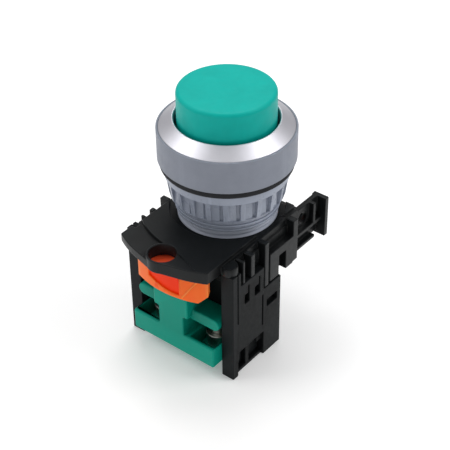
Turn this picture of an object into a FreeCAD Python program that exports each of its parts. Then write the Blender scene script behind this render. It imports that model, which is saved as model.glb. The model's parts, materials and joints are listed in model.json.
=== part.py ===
import FreeCAD, Part
import math
import os
import re

import Sketcher

# Industrial push button: a raised round button in a 22 mm operator head, a ribbed lock nut,
# a black mounting adaptor with an orange bayonet lever, and one screw-terminal contact block.
# The frame is +Z up along the button's axis, with the origin where that axis crosses the panel
# plane (the underside of the gasket). The wire entries face -Y. All sizes are in millimetres.

SIZES = {
    # Button and its stem
    "cap_radius": 10.4,
    "cap_top": 17.3,
    "cap_skirt_level": 6.6,
    "cap_wall": 1.6,
    "cap_edge_round": 0.8,
    "stem_radius": 4.0,
    "stem_disc_thick": 1.5,
    "stem_bottom": -14.9,
    "pusher_radius": 8.3,
    "pusher_level": -13.6,
    "pusher_thick": 1.4,
    "circlip_thick": 0.4,
    "circlip_groove_radius": 3.4,
    "circlip_radius": 4.9,
    "fit_gap": 0.05,
    # Bezel, insert ring and gasket
    "bezel_radius": 14.75,
    "bezel_bore_radius": 13.0,
    "bezel_bottom": 1.45,
    "bezel_top": 8.8,
    "bezel_lip": 0.45,
    "insert_radius": 14.25,
    "insert_hole_radius": 11.05,
    "insert_crown_level": 10.9,
    "insert_sheet": 0.7,
    "gasket_radius": 14.3,
    "gasket_lip": 0.3,
    # Threaded barrel
    "barrel_radius": 10.9,
    "barrel_bottom": -17.4,
    "barrel_bore_radius": 8.7,
    "barrel_well_radius": 11.3,
    "barrel_well_floor": 2.2,
    "barrel_wall_top": 8.2,
    "web_top": -1.0,
    "web_bottom": -3.0,
    "seal_seat_radius": 5.85,
    "seal_seat_level": -2.2,
    "seal_ring_radius": 4.95,
    "seal_cord_radius": 0.84,
    "thread_pitch": 1.5,
    "thread_depth": 0.5,
    "thread_count": 9,
    "bayonet_top": -14.5,
    "bayonet_bottom": -16.5,
    "bayonet_root_radius": 10.05,
    "bayonet_slot_width": 6.4,
    # Lock nut
    "nut_top": -0.2,
    "nut_flange_radius": 13.4,
    "nut_flange_bottom": -2.4,
    "nut_pocket_radius": 12.1,
    "nut_rib_radius": 13.15,
    "nut_rib_foot_radius": 12.45,
    "nut_rib_bottom": -7.2,
    "nut_pocket_width": 2.55,
    "nut_rib_count": 22,
    "nut_rib_phase": 12.2,
    "nut_groove_lag": 4.2,
    "nut_groove_width": 0.7,
    "nut_groove_radius": 11.75,
    "nut_collar_radius": 11.8,
    "nut_bottom": -10.6,
    "nut_bottom_radius": 11.2,
    "nut_line_depth": 0.35,
    "nut_line_height": 0.4,
    "nut_bore_radius": 10.97,
    # Mounting adaptor
    "deck_top": -11.6,
    "wing_top": -12.5,
    "wing_bottom": -14.4,
    "deck_radius": 18.9,
    "wing_radius": 24.2,
    "nose_half_width": 11.6,
    "wing_left": 12.1,
    "wing_tail": 17.6,
    "deck_half_width": 12.4,
    "deck_left": 11.0,
    "deck_front": 15.8,
    "deck_back": 8.6,
    "socket_radius": 12.6,
    "socket_hole_radius": 11.0,
    "eye_radius": 3.45,
    "eye_hole_radius": 2.95,
    "eye_offset": 21.55,
    "flank_x": 4.9,
    "flank_y": 23.7,
    "flank_length": 3.95,
    "flank_width": 2.0,
    "skirt_web": 0.6,
    "skirt_level": -18.0,
    "side_half_width": 14.5,
    "left_rib_reach": 13.4,
    "rib_top_right": -12.4,
    "rib_top_left": -13.0,
    "hook_bottom": -23.5,
    "rear_top": -13.0,
    "rear_bottom": -23.2,
    "rear_wall_front": 16.1,
    "rear_wall_thick": 1.2,
    "rear_arm_level": -22.4,
    "rear_bar_top": -19.6,
    "rear_foot_width": 3.6,
    "boss_radius": 1.75,
    "boss_x": 12.6,
    "boss_y": 15.3,
    # Bayonet lever
    "lever_top": -14.7,
    "lever_web_bottom": -16.3,
    "lever_bottom": -21.4,
    "lever_radius": 22.4,
    "lever_skirt_radius": 20.6,
    "lever_ring_radius": 11.75,
    "lever_ring_bore": 11.15,
    "lever_lug_radius": 10.2,
    "lever_lug_width": 5.0,
    "lever_sweep": 48.0,
    "lever_left_angle": 20.0,
    "lever_corner": 2.2,
    "retainer_thick": 0.6,
    # Contact block
    "block_front": 16.66,
    "post_inner": 11.3,
    "post_back": 13.9,
    "post_top": -14.6,
    "wall_thick": 1.8,
    "block_top": -18.1,
    "block_step_level": -24.0,
    "block_step_back": 4.0,
    "block_bottom": -42.9,
    "block_cap_thick": 1.5,
    "base_top": -39.4,
    "base_bottom": -42.4,
    "tray_top": -33.0,
    # Terminal body
    "terminal_front": 19.55,
    "terminal_back": 11.7,
    "terminal_panel": 0.8,
    "terminal_half_width": 11.24,
    "terminal_bottom": -39.1,
    "sill_top": -34.0,
    "lintel_bottom": -30.4,
    "lintel_top": -27.4,
    "lintel_front": 17.6,
    "sill_wall": 0.9,
    "sill_floor": -38.4,
    "pocket_top": -31.8,
    "pocket_back": 10.2,
    "pocket_inner": 4.1,
    "pocket_outer": 10.7,
    "pocket_wall": 0.6,
    "column_centre": -0.4,
    "column_half_width": 3.45,
    "column_head_half_width": 4.7,
    "column_step_level": -29.0,
    "column_top": -21.7,
    "screw_x": 7.4,
    "screw_y": 13.0,
    "screw_well_half": 2.5,
    "screw_radius": 1.5,
    "screw_head_radius": 2.4,
    "screw_head_top": -35.4,
    "screw_head_bottom": -37.9,
    "screw_tip": -28.6,
    "screw_slot": 0.8,
    "screw_slot_depth": 1.1,
    "washer_radius": 2.65,
    "washer_thick": 0.8,
    # Contacts
    "tab_thick": 0.6,
    "tab_front": 16.0,
    "tab_inner": 4.4,
    "tab_outer": 11.0,
    "shelf_level": -27.9,
    "shelf_back": 6.0,
    "shelf_front": 10.5,
    "tip_radius": 1.1,
    "tip_thick": 0.6,
    "tip_x": 6.6,
    "contact_y": 8.3,
    "bridge_top": -23.8,
    "bridge_half_length": 7.8,
    "bridge_half_width": 0.9,
    "plunger_pin_y": 6.8,
    "plunger_pin_radius": 1.45,
    "plunger_half_width": 2.4,
    "plunger_front": 10.8,
    "plunger_back": 5.8,
    "plunger_head": -19.75,
    "plunger_foot": -29.5,
    "plunger_window_top": -20.9,
    "plunger_window_bottom": -24.5,
    "window_half_depth": 1.4,
    # Springs
    "return_spring_radius": 7.0,
    "return_spring_wire": 0.45,
    "plunger_spring_radius": 1.6,
    "plunger_spring_wire": 0.2,
    "contact_spring_radius": 0.9,
    "contact_spring_wire": 0.13,
}

doc = FreeCAD.newDocument("PushButton")
sheet = doc.addObject("Spreadsheet::Sheet", "Sizes")
for row, (alias, value) in enumerate(SIZES.items(), start=1):
    sheet.set(f"A{row}", alias)
    sheet.set(f"B{row}", str(value))
    sheet.setAlias(f"B{row}", alias)
doc.recompute()


def size(alias):
    """Read one driving dimension back from the sheet."""
    return float(sheet.get(alias))


def cell(text):
    """Turn plain size names in an expression into references to the sheet."""
    return re.sub(r"[a-z_]+", lambda word: "Sizes." + word.group(0) if word.group(0) in SIZES else word.group(0),
                  str(text))


def place(item, x, y, z):
    for axis, text in zip("xyz", (x, y, z)):
        item.setExpression(f"Placement.Base.{axis}", cell(text))


def box(name, x, y, z):
    """A box between two expressions on each axis, given as (low, high) pairs."""
    item = doc.addObject("Part::Box", name)
    for prop, (low, high) in zip(("Length", "Width", "Height"), (x, y, z)):
        item.setExpression(prop, cell(f"({high}) - ({low})"))
    place(item, x[0], y[0], z[0])
    return item


def rod(name, radius, z, x="0", y="0"):
    """An upright cylinder between two levels."""
    item = doc.addObject("Part::Cylinder", name)
    item.setExpression("Radius", cell(radius))
    item.setExpression("Height", cell(f"({z[1]}) - ({z[0]})"))
    place(item, x, y, z[0])
    return item


def spoke(name, inner, outer, width, z, angle):
    """A box that points outward from the button's axis at an angle from +X, in degrees."""
    item = doc.addObject("Part::Box", name)
    item.setExpression("Length", cell(f"({outer}) - ({inner})"))
    item.setExpression("Width", cell(width))
    item.setExpression("Height", cell(f"({z[1]}) - ({z[0]})"))
    turn = FreeCAD.Rotation(FreeCAD.Vector(0, 0, 1), angle)
    corner = FreeCAD.Vector(length_of(inner), -length_of(width) / 2, length_of(z[0]))
    item.Placement = FreeCAD.Placement(turn.multVec(corner), turn)
    return item


def fuse(name, parts):
    item = doc.addObject("Part::MultiFuse", name)
    item.Shapes = parts
    return item


def common(name, first, second):
    item = doc.addObject("Part::MultiCommon", name)
    item.Shapes = [first, second]
    return item


def cut(name, base, tools):
    item = doc.addObject("Part::Cut", name)
    item.Base = base
    item.Tool = tools[0] if len(tools) == 1 else fuse(name + "Tools", tools)
    return item


SUBPARTS = {}


def subpart(node, item):
    """Give a finished object its own label, which is also the name of its file."""
    item.Label = node
    SUBPARTS[node] = item
    return item


def origin_plane(body, role):
    return next(item for item in body.Origin.OriginFeatures if item.Role == role)


def outline(body, name, points):
    """A closed sketch on the body's XZ plane through (radius, level) points, each bound to the sheet."""
    sketch = body.newObject("Sketcher::SketchObject", name)
    sketch.AttachmentSupport = [(origin_plane(body, "XZ_Plane"), "")]
    sketch.MapMode = "FlatFace"
    spots = [tuple(length_of(text) for text in point) for point in points]
    count = len(points)
    for index in range(count):
        start = FreeCAD.Vector(*spots[index], 0)
        end = FreeCAD.Vector(*spots[(index + 1) % count], 0)
        sketch.addGeometry(Part.LineSegment(start, end), False)
    for index in range(count):
        sketch.addConstraint(Sketcher.Constraint("Coincident", index, 2, (index + 1) % count, 1))
    for index, point in enumerate(points):
        for kind, text, value in zip(("DistanceX", "DistanceY"), point, spots[index]):
            if abs(value) < 1e-9:
                line = -2 if kind == "DistanceX" else -1
                sketch.addConstraint(Sketcher.Constraint("PointOnObject", index, 1, line))
                continue
            number = sketch.addConstraint(Sketcher.Constraint(kind, -1, 1, index, 1, value))
            sketch.setExpression(f"Constraints[{number}]", cell(text))
    return sketch


def length_of(text):
    """Work out a sum of sizes such as 'cap_top - cap_wall' from the sheet."""
    total = 0.0
    for sign, term in re.findall(r"([+-]?)\s*([a-z_]+|[0-9.]+)", str(text)):
        value = size(term) if term in SIZES else float(term)
        total += -value if sign == "-" else value
    return total


def turned(node, points):
    """A round body: the outline turned about the button's axis."""
    body = doc.addObject("PartDesign::Body", node.title().replace("_", "") + "Body")
    sketch = outline(body, body.Name + "Outline", points)
    solid = body.newObject("PartDesign::Revolution", body.Name + "Turned")
    solid.Profile = sketch
    solid.ReferenceAxis = (sketch, ["V_Axis"])
    solid.Angle = 360
    body.Tip = solid
    doc.recompute()
    return body


def rim(body, radius, level):
    """The name of the round edge of a body at one radius and level."""
    for number, edge in enumerate(body.Tip.Shape.Edges, start=1):
        curve = edge.Curve
        if curve.TypeId != "Part::GeomCircle" or abs(curve.Radius - radius) > 1e-4:
            continue
        if abs(curve.Center.z - level) < 1e-4:
            return f"Edge{number}"
    raise RuntimeError(f"{body.Label} has no rim at radius {radius}, level {level}")


def dress(body, kind, edges, amount):
    """Round ("Fillet", Radius) or bevel ("Chamfer", Size) some edges of a body."""
    base = body.Tip
    feature = body.newObject("PartDesign::" + kind, body.Name + kind)
    feature.Base = (base, edges)
    feature.setExpression("Radius" if kind == "Fillet" else "Size", cell(amount))
    body.Tip = feature
    doc.recompute()


# ---------------------------------------------------------------- button and stem

def make_cap():
    inner = "cap_radius - cap_wall"
    body = turned("button_cap", [
        ("0", "cap_top"),
        ("cap_radius", "cap_top"),
        ("cap_radius", "cap_skirt_level"),
        (inner, "cap_skirt_level"),
        (inner, "cap_top - cap_wall"),
        ("0", "cap_top - cap_wall"),
    ])
    dress(body, "Fillet", [rim(body, size("cap_radius"), size("cap_top"))], "cap_edge_round")
    subpart("button_cap", body)


def make_stem():
    disc = "cap_radius - cap_wall - fit_gap"
    top = "cap_top - cap_wall"
    under = "cap_top - cap_wall - stem_disc_thick"
    groove_low = "pusher_level - circlip_thick - fit_gap"
    subpart("button_stem", turned("button_stem", [
        ("0", top),
        (disc, top),
        (disc, under),
        ("stem_radius", under),
        ("stem_radius", "pusher_level"),
        ("circlip_groove_radius", "pusher_level"),
        ("circlip_groove_radius", groove_low),
        ("stem_radius", groove_low),
        ("stem_radius", "stem_bottom"),
        ("0", "stem_bottom"),
    ]))
    subpart("pusher_plate", turned("pusher_plate", [
        ("stem_radius + fit_gap", "pusher_level"),
        ("pusher_radius", "pusher_level"),
        ("pusher_radius", "pusher_level + pusher_thick"),
        ("stem_radius + fit_gap", "pusher_level + pusher_thick"),
    ]))
    ring_z = ("pusher_level - circlip_thick - fit_gap / 2", "pusher_level - fit_gap / 2")
    ring = cut("CirclipRing", rod("CirclipDisc", "circlip_radius", ring_z),
               [rod("CirclipBore", "circlip_groove_radius + fit_gap", ring_z)])
    mouth = box("CirclipMouth", ("-stem_radius / 2", "stem_radius / 2"), ("0", "circlip_radius + 1"), ring_z)
    subpart("stem_circlip", cut("Circlip", ring, [mouth]))


def make_seal():
    ring = doc.addObject("Part::Torus", "StemSeal")
    ring.setExpression("Radius1", cell("seal_ring_radius"))
    ring.setExpression("Radius2", cell("seal_cord_radius"))
    place(ring, "0", "0", "seal_seat_level + seal_cord_radius")
    subpart("stem_seal", ring)


def make_spring(node, radius, wire, low, high, turns, y="0"):
    """A coil spring between two levels: a round wire swept along a helix."""
    helix = doc.addObject("Part::Helix", node.title().replace("_", "") + "Helix")
    coil = f"({high}) - ({low}) - 2 * {wire}"
    helix.setExpression("Height", cell(coil))
    helix.setExpression("Pitch", cell(f"({coil}) / {turns}"))
    helix.setExpression("Radius", cell(radius))
    helix.SegmentLength = 1
    place(helix, "0", y, f"{low} + {wire}")
    circle = doc.addObject("Part::Circle", helix.Name + "Wire")
    circle.setExpression("Radius", cell(wire))
    circle.Placement.Rotation = FreeCAD.Rotation(FreeCAD.Vector(1, 0, 0), 90)
    place(circle, radius, y, f"{low} + {wire}")
    spring = doc.addObject("Part::Sweep", helix.Name + "Coil")
    spring.Sections = [circle]
    spring.Spine = (helix, [])
    spring.Solid = True
    spring.Frenet = True
    subpart(node, spring)


# ---------------------------------------------------------------- operator head

def make_bezel():
    seat = "bezel_top - bezel_lip"
    subpart("bezel_ring", turned("bezel_ring", [
        ("bezel_bore_radius", "bezel_bottom"),
        ("bezel_radius", "bezel_bottom"),
        ("bezel_radius", "bezel_top"),
        ("insert_radius + fit_gap", "bezel_top"),
        ("insert_radius + fit_gap", seat),
        ("bezel_bore_radius", seat),
    ]))
    subpart("bezel_insert", turned("bezel_insert", [
        ("insert_hole_radius", "bezel_top"),
        ("insert_hole_radius + insert_sheet", "bezel_top"),
        ("insert_hole_radius + insert_sheet", "insert_crown_level - insert_sheet"),
        ("insert_radius - insert_sheet", seat),
        ("insert_radius", seat),
        ("insert_radius", "bezel_top"),
        ("insert_hole_radius + 0.25", "insert_crown_level"),
        ("insert_hole_radius", "insert_crown_level - 0.2"),
    ]))
    subpart("panel_gasket", turned("panel_gasket", [
        ("barrel_radius + fit_gap", "0"),
        ("gasket_radius", "0"),
        ("gasket_radius", "gasket_lip"),
        ("gasket_radius - gasket_lip", "bezel_bottom - gasket_lip"),
        ("gasket_radius - gasket_lip", "bezel_bottom"),
        ("barrel_radius + fit_gap", "bezel_bottom"),
    ]))


def make_barrel():
    flange = "bezel_bore_radius - fit_gap"
    body = turned("operator_barrel", [
        ("barrel_bore_radius", "barrel_bottom"),
        ("barrel_radius - 0.4", "barrel_bottom"),
        ("barrel_radius", "barrel_bottom + 0.4"),
        ("barrel_radius", "bayonet_bottom"),
        ("bayonet_root_radius", "bayonet_bottom"),
        ("bayonet_root_radius", "bayonet_top"),
        ("barrel_radius", "bayonet_top"),
        ("barrel_radius", "bezel_bottom"),
        (flange, "bezel_bottom"),
        (flange, "barrel_wall_top"),
        ("barrel_well_radius", "barrel_wall_top"),
        ("barrel_well_radius", "barrel_well_floor"),
        ("barrel_bore_radius", "barrel_well_floor"),
        ("barrel_bore_radius", "web_top"),
        ("seal_seat_radius", "web_top"),
        ("seal_seat_radius", "seal_seat_level"),
        ("stem_radius + fit_gap", "seal_seat_level"),
        ("stem_radius + fit_gap", "web_bottom"),
        ("barrel_bore_radius", "web_bottom"),
    ])
    # The thread is cut as equal rings, one pitch apart
    low = size("nut_top") - size("thread_pitch") * 0.9
    groove_sketch = body.newObject("Sketcher::SketchObject", "ThreadOutline")
    groove_sketch.AttachmentSupport = [(origin_plane(body, "XZ_Plane"), "")]
    groove_sketch.MapMode = "FlatFace"
    crest = size("barrel_radius")
    root = crest - size("thread_depth")
    half = size("thread_pitch") * 0.4
    corners = [(crest + 0.1, low + half), (crest + 0.1, low - half), (root, low)]
    for index in range(3):
        start = FreeCAD.Vector(*corners[index], 0)
        end = FreeCAD.Vector(*corners[(index + 1) % 3], 0)
        groove_sketch.addGeometry(Part.LineSegment(start, end), False)
    for index in range(3):
        groove_sketch.addConstraint(Sketcher.Constraint("Coincident", index, 2, (index + 1) % 3, 1))
    bound = [("DistanceX", 0, "barrel_radius + 0.1"), ("DistanceX", 1, "barrel_radius + 0.1"),
             ("DistanceX", 2, "barrel_radius - thread_depth"), ("DistanceY", 0, "nut_top - thread_pitch * 0.5"),
             ("DistanceY", 1, "nut_top - thread_pitch * 1.3"), ("DistanceY", 2, "nut_top - thread_pitch * 0.9")]
    for kind, index, text in bound:
        value = corners[index][0 if kind == "DistanceX" else 1]
        number = groove_sketch.addConstraint(Sketcher.Constraint(kind, -1, 1, index, 1, value))
        groove_sketch.setExpression(f"Constraints[{number}]", cell(text))
    groove = body.newObject("PartDesign::Groove", "ThreadRing")
    groove.Profile = groove_sketch
    groove.ReferenceAxis = (groove_sketch, ["V_Axis"])
    groove.Angle = 360
    body.Tip = groove
    doc.recompute()
    rings = body.newObject("PartDesign::LinearPattern", "ThreadRings")
    rings.Originals = [groove]
    rings.Direction = (groove_sketch, ["V_Axis"])
    rings.Reversed = True
    rings.setExpression("Length", cell("thread_pitch * (thread_count - 1)"))
    rings.setExpression("Occurrences", cell("thread_count"))
    body.Tip = rings
    doc.recompute()
    slot_z = ("barrel_bottom - 1", "bayonet_bottom + 0.1")
    slots = [box(f"BayonetSlot{side}", ("-bayonet_slot_width / 2", "bayonet_slot_width / 2"), y, slot_z)
             for side, y in (("Front", ("-barrel_radius - 1", "-bayonet_root_radius")),
                             ("Back", ("bayonet_root_radius", "barrel_radius + 1")))]
    subpart("operator_barrel", cut("Barrel", body, slots))


def make_nut():
    """A round nut with a flange on top, a tapered band of grip ribs and a narrow collar below."""
    line_one = "nut_rib_bottom - 1.2"
    line_two = "nut_rib_bottom - 2.4"
    near = "nut_collar_radius - 0.15"
    far = "nut_collar_radius - 0.4"
    body = turned("lock_nut", [
        ("nut_bore_radius", "nut_top"),
        ("nut_flange_radius", "nut_top"),
        ("nut_flange_radius", "nut_flange_bottom"),
        ("nut_rib_radius", "nut_flange_bottom"),
        ("nut_rib_foot_radius", "nut_rib_bottom"),
        ("nut_collar_radius", "nut_rib_bottom - 0.1"),
        (near, line_one),
        (near + " - nut_line_depth", line_one),
        (near + " - nut_line_depth", line_one + " - nut_line_height"),
        (near, line_one + " - nut_line_height"),
        (far, line_two),
        (far + " - nut_line_depth", line_two),
        (far + " - nut_line_depth", line_two + " - nut_line_height"),
        (far, line_two + " - nut_line_height"),
        ("nut_bottom_radius", "nut_bottom"),
        ("nut_bore_radius", "nut_bottom"),
    ])
    count = int(size("nut_rib_count"))
    pocket_z = ("nut_rib_bottom", "nut_flange_bottom")
    cuts = []
    for number in range(count):
        rib_angle = number * 360.0 / count + size("nut_rib_phase")
        cuts.append(spoke(f"NutPocket{number}", "nut_pocket_radius", "nut_flange_radius", "nut_pocket_width",
                          pocket_z, rib_angle + 180.0 / count))
        cuts.append(spoke(f"NutGroove{number}", "nut_groove_radius", "nut_flange_radius", "nut_groove_width",
                          pocket_z, rib_angle - size("nut_groove_lag")))
    subpart("lock_nut", cut("LockNut", body, cuts))


# ---------------------------------------------------------------- mounting adaptor

def make_adaptor():
    """One moulding: deck with a socket for the barrel, nose with an eye, ribbed sides, hooks and rear arms."""
    wing_z = ("wing_bottom", "wing_top")
    deck_z = ("wing_top", "deck_top")
    reach = "-wing_radius - 1"
    solids = [
        common("WingArc", rod("WingDisc", "wing_radius", wing_z),
               box("WingSpan", ("-wing_left", "nose_half_width"), (reach, "-wing_tail"), wing_z)),
        box("WingRoot", ("-deck_left", "nose_half_width"), ("-wing_tail - 1", "-deck_front + 1"), wing_z),
        common("NoseArc", rod("NoseDisc", "wing_radius", deck_z),
               box("NoseSpan", ("0", "nose_half_width"), (reach, "-deck_front + 1"), deck_z)),
        common("DeckArc", rod("DeckDisc", "deck_radius", deck_z),
               box("DeckSpan", ("-deck_left", "nose_half_width"), ("-deck_radius - 1", "deck_back"), deck_z)),
        box("Plate", ("-deck_half_width + skirt_web", "deck_half_width"), ("-deck_front", "deck_back"), wing_z),
        rod("Eye", "eye_radius", ("wing_bottom", "deck_top"), y="-eye_offset"),
        rod("PostBoss", "boss_radius", ("post_top + fit_gap", "wing_top"), x="boss_x", y="-boss_y"),
    ]
    # Flat flanks run from the wing's arc to the eye, so that the nose has no inner corners
    slope = math.degrees(math.atan2(size("flank_y") - size("eye_offset") - size("eye_radius"), size("flank_x")))
    for name, turn, top in (("Left", slope, "wing_top"), ("Right", -slope, "deck_top")):
        flank = box(f"EyeFlank{name}", ("0", "flank_length"), ("0", "flank_width"), ("wing_bottom", top))
        flank.Placement.Rotation = FreeCAD.Rotation(FreeCAD.Vector(0, 0, 1), turn)
        if name == "Left":
            place(flank, "-flank_x", "-flank_y", "wing_bottom")
        else:
            place(flank, f"flank_x - flank_length * cos({slope} deg)", f"-flank_y + flank_length * sin({slope} deg)",
                  "wing_bottom")
        solids.append(flank)
    for name in ("Left", "Right"):
        right = name == "Right"

        def across(low, high):
            return (low, high) if right else (f"-({high})", f"-({low})")

        web_x = across("deck_half_width - skirt_web", "deck_half_width + 0.4")
        rib_x = across("deck_half_width", "side_half_width" if right else "left_rib_reach")
        hook_x = across("deck_half_width", "side_half_width")
        rib_top = "rib_top_right" if right else "rib_top_left"
        solids.append(box(f"Web{name}", web_x, ("-post_back + 0.1", "-6.2"), ("skirt_level", "wing_bottom + 0.4")))
        solids.append(box(f"HookWeb{name}", web_x, ("-6.0", "6.2"), ("hook_bottom", "wing_bottom + 0.4")))
        for index, (low, high) in enumerate((("-13.2", "-12.6"), ("-10.5", "-9.3"))):
            solids.append(box(f"Rib{name}{index}", rib_x, (low, high), ("skirt_level", rib_top)))
        for index, (low, high, foot) in enumerate((("-5.7", "-4.4", "-23.8"), ("4.4", "6.0", "rear_bottom"))):
            solids.append(box(f"Hook{name}{index}", hook_x, (low, high), (foot, rib_top)))
        solids.append(box(f"Panel{name}", hook_x, ("-3.9", "4.4"), ("hook_bottom", "-16.2")))
        arm = box(f"Arm{name}", across("deck_half_width - 1.2", "deck_half_width"),
                  ("deck_back - 3", "rear_wall_front"), ("rear_arm_level", "rear_top"))
        hole = rod(f"ArmHole{name}", "1.7", ("0", "6"))
        hole.Placement.Rotation = FreeCAD.Rotation(FreeCAD.Vector(0, 1, 0), 90)
        place(hole, "deck_half_width - 3" if right else "-side_half_width", "10.6", "-16.2")
        solids.append(cut(f"Gusset{name}", arm, [hole]))
        ledge_x = across("deck_half_width - 0.6", "side_half_width - 0.8")
        solids.append(box(f"Ledge{name}", ledge_x, ("5.8", "rear_wall_front"), ("-18.9", "-18.0")))
        solids.append(box(f"Foot{name}", ledge_x, ("5.8", "rear_wall_front - 2.4"), ("rear_arm_level", "-21.6")))
        solids.append(box(f"Stay{name}", ledge_x, ("12.9", "13.8"), ("-18.0", "rear_top")))
        solids.append(box(f"RearEnd{name}", across("side_half_width - rear_foot_width", "side_half_width + 0.2"),
                          ("rear_wall_front", "rear_wall_front + rear_wall_thick"), ("rear_bottom", "rear_top")))
    solids.append(box("RearBar", ("-side_half_width", "side_half_width"),
                      ("rear_wall_front", "rear_wall_front + rear_wall_thick"), ("rear_bottom", "rear_bar_top")))
    through = ("wing_bottom - 1", "deck_top + 1")
    holes = [
        rod("SocketHole", "socket_hole_radius", through),
        rod("Socket", "socket_radius", ("wing_top", "deck_top + 1")),
        rod("EyeHole", "eye_hole_radius", through, y="-eye_offset"),
        box("PanelNotches", ("-side_half_width - 1", "side_half_width + 1"), ("-0.7", "1.8"),
            ("hook_bottom - 1", "-18.4")),
    ]
    keep = box("NotchKeep", ("-deck_half_width - 0.4", "deck_half_width + 0.4"), ("-1", "2"),
               ("hook_bottom - 2", "-18"))
    holes[3] = cut("PanelNotch", holes[3], [keep])
    subpart("adaptor_frame", cut("Adaptor", fuse("AdaptorSolids", solids), holes))


def sector(name, radius, z):
    """A slice of a cylinder that spans the lever's arc."""
    item = rod(name, radius, z)
    item.setExpression("Angle", cell("lever_sweep"))
    item.Placement.Rotation = FreeCAD.Rotation(FreeCAD.Vector(0, 0, 1), -90 - size("lever_left_angle"))
    return item


def make_lever():
    web_z = ("lever_web_bottom", "lever_top")
    web = sector("LeverWeb", "lever_radius - 0.5", web_z)
    skirt = cut("LeverSkirt", sector("LeverSkirtOuter", "lever_radius", ("lever_bottom", "lever_top")),
                [sector("LeverSkirtInner", "lever_skirt_radius", ("lever_bottom", "lever_top"))])
    ring = rod("LeverRing", "lever_ring_radius", web_z)
    bored = cut("LeverBored", fuse("LeverSolids", [web, skirt, ring]), [rod("LeverBore", "lever_ring_bore", web_z)])
    lugs = []
    for name, x in (("Left", ("-lever_ring_bore - 0.3", "-lever_lug_radius")),
                    ("Right", ("lever_lug_radius", "lever_ring_bore + 0.3"))):
        lugs.append(box(f"LeverLug{name}", x, ("-lever_lug_width / 2", "lever_lug_width / 2"), web_z))
    clear = rod("LeverLugBore", "lever_lug_radius", web_z)
    end = size("lever_sweep") - size("lever_left_angle") - 90
    turn = FreeCAD.Rotation(FreeCAD.Vector(0, 0, 1), end) * FreeCAD.Rotation(FreeCAD.Vector(1, 0, 0), 45)
    side = size("lever_corner") * math.sqrt(2)
    corner = doc.addObject("Part::Box", "LeverCorner")
    corner.setExpression("Length", cell("lever_radius"))
    corner.setExpression("Width", cell("lever_corner * sqrt(2)"))
    corner.setExpression("Height", cell("lever_corner * sqrt(2)"))
    lowest = FreeCAD.Vector(0, 0, size("lever_bottom"))
    start = FreeCAD.Vector(size("lever_radius") / 2, -side / 2, -side / 2)
    corner.Placement = FreeCAD.Placement(lowest + turn.multVec(start), turn)
    subpart("lock_lever", cut("Lever", fuse("LeverWhole", [bored] + lugs), [clear, corner]))
    keeper_z = ("lever_web_bottom - 0.2 - retainer_thick", "lever_web_bottom - 0.2")
    subpart("lever_retainer", cut("LeverRetainer", rod("RetainerDisc", "lever_ring_radius", keeper_z),
                                  [rod("RetainerBore", "lever_ring_bore", keeper_z)]))


# ---------------------------------------------------------------- contact block

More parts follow.
